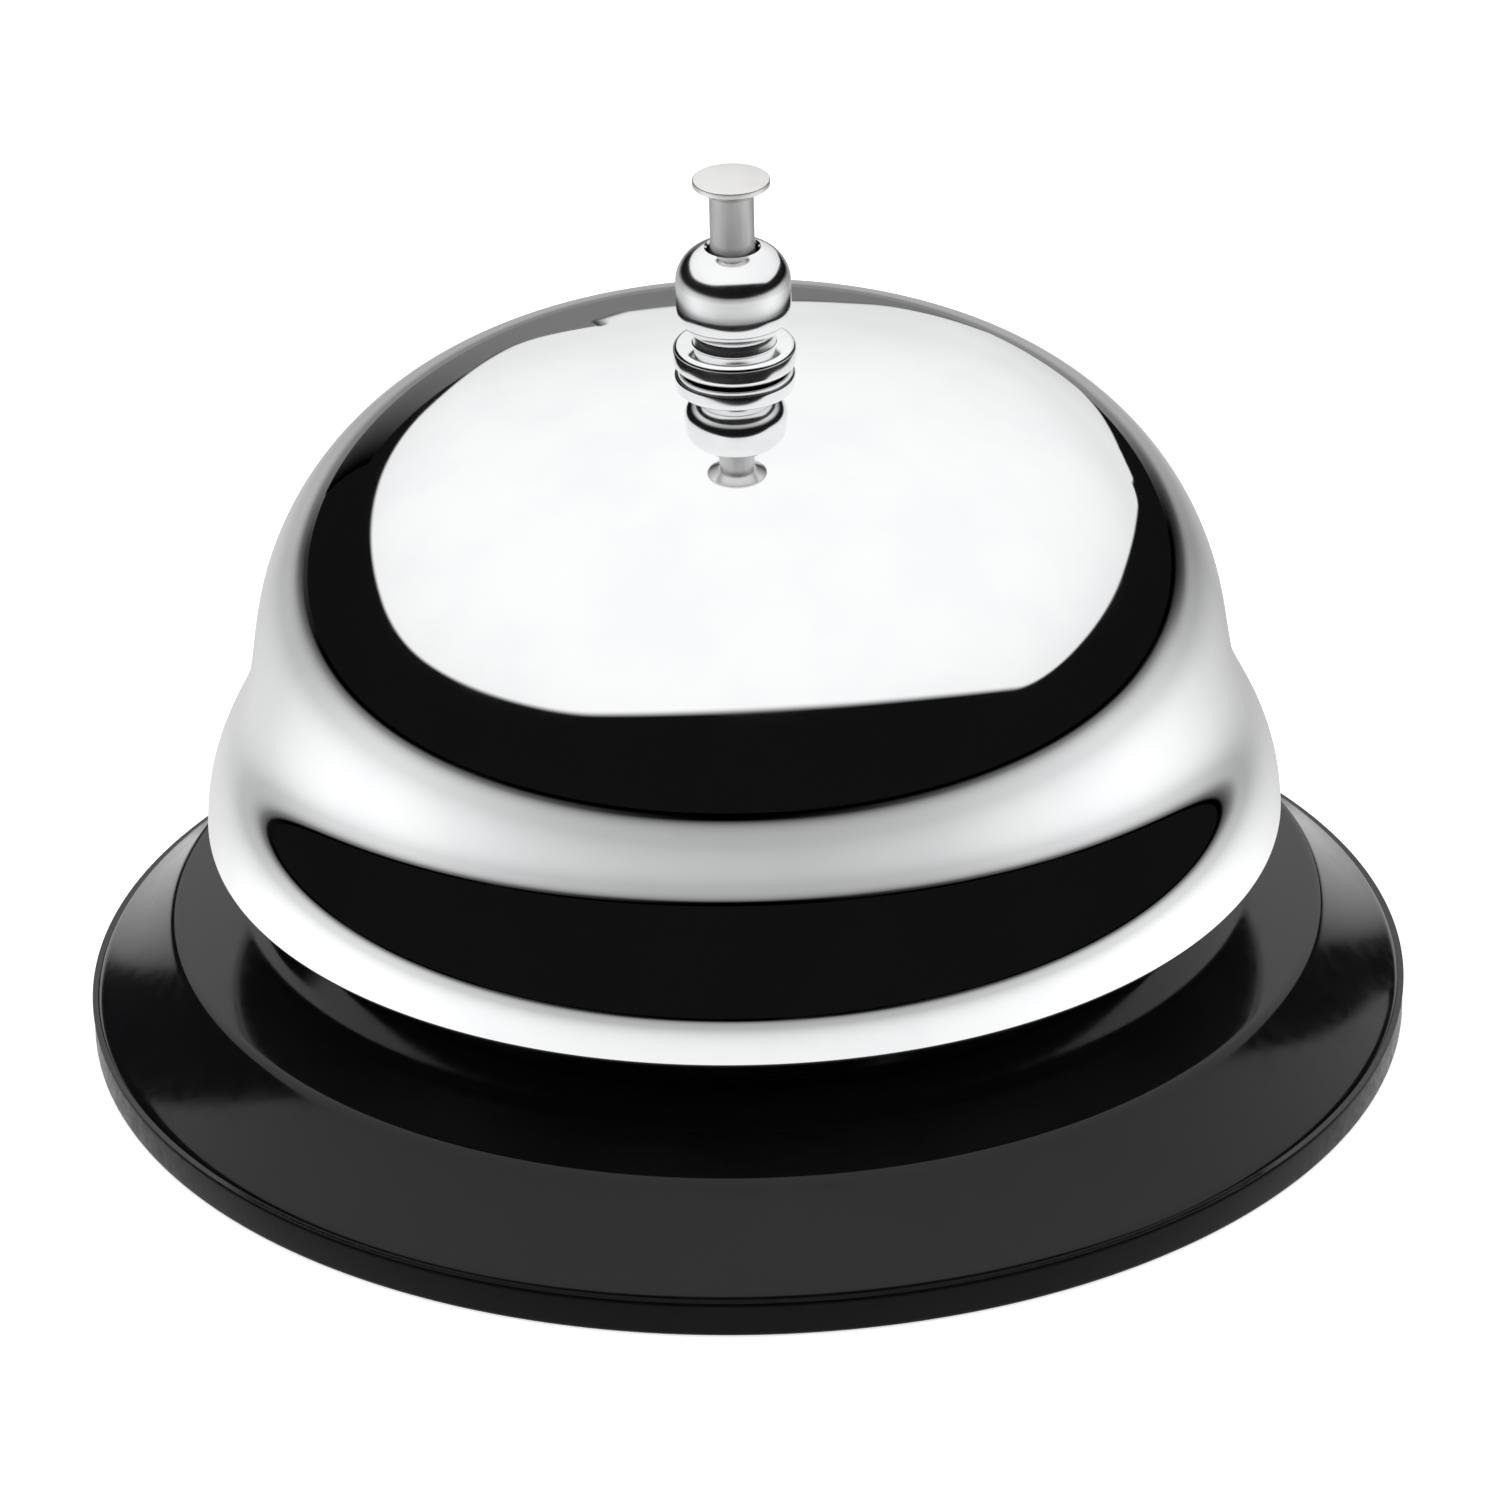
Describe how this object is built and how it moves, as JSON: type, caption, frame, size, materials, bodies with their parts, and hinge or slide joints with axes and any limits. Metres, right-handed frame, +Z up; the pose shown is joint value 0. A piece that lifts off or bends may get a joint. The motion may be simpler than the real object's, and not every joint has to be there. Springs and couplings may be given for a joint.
{
  "type": "counter service bell",
  "caption": "Round counter bell: a chromed gong on a black base, rung by pressing a plunger that swings a brass hammer inside.",
  "frame": {"origin": "centre of the face that the bell stands on", "axes": "+Z up along the plunger, +X towards the side where the hammer strikes"},
  "size_m": [0.085, 0.085, 0.0582],
  "materials": {
    "foot_rubber": "satin moulded rubber",
    "zinc_sheet": "zinc-plated sheet",
    "plain_steel": "bright pressed steel",
    "zinc_screw": "zinc-plated",
    "black_enamel": "high-gloss black enamel",
    "red_fibre": "vulcanised fibre",
    "gong_chrome": "mirror chrome",
    "knob_chrome": "polished chrome",
    "button_nickel": "satin nickel",
    "rod_steel": "drawn steel",
    "dark_clip": "blackened spring steel",
    "spring_steel": "bright spring wire",
    "lever_steel": "tumbled steel",
    "head_brass": "turned brass",
    "white_nylon": "natural nylon"
  },
  "bodies": {
    "bell_body": {"foot_ring": "foot_rubber", "bottom_plate": "zinc_sheet", "base_boss": "plain_steel", "bottom_screw": "zinc_screw", "base_shell": "black_enamel", "yoke": "plain_steel", "yoke_screws": "zinc_screw", "yoke_washers": "zinc_screw", "yoke_nuts": "zinc_screw", "center_post": "plain_steel", "lower_gong_washer": "red_fibre", "gong": "gong_chrome", "upper_gong_washer": "red_fibre", "knob": "knob_chrome", "spring_seat": "zinc_screw", "plunger_spring": "spring_steel", "pivot_pin": "rod_steel", "pivot_clip": "dark_clip", "pivot_spacers": "white_nylon"},
    "plunger": {"plunger_button": "button_nickel", "plunger_rod": "rod_steel", "plunger_clip": "dark_clip"},
    "hammer": {"hammer_lever": "lever_steel", "hammer_head": "head_brass"}
  },
  "joints": [
    {"name": "plunger_slide", "type": "slide", "parent": "bell_body", "child": "plunger", "axis": [0, 0, -1], "range_m": [0, 0.00315], "stiffness_N_per_m": 300, "springref_m": -0.0015, "deforming": ["plunger_spring"]},
    {"name": "hammer_swing", "type": "hinge", "parent": "bell_body", "child": "hammer", "pos_m": [0.009, 0, 0.029], "axis": [0, -1, 0], "range_deg": [0, 20]}
  ],
  "couplings": [
    {"joint": "hammer_swing", "follows": "plunger_slide", "rad_per_m": 110}
  ]
}
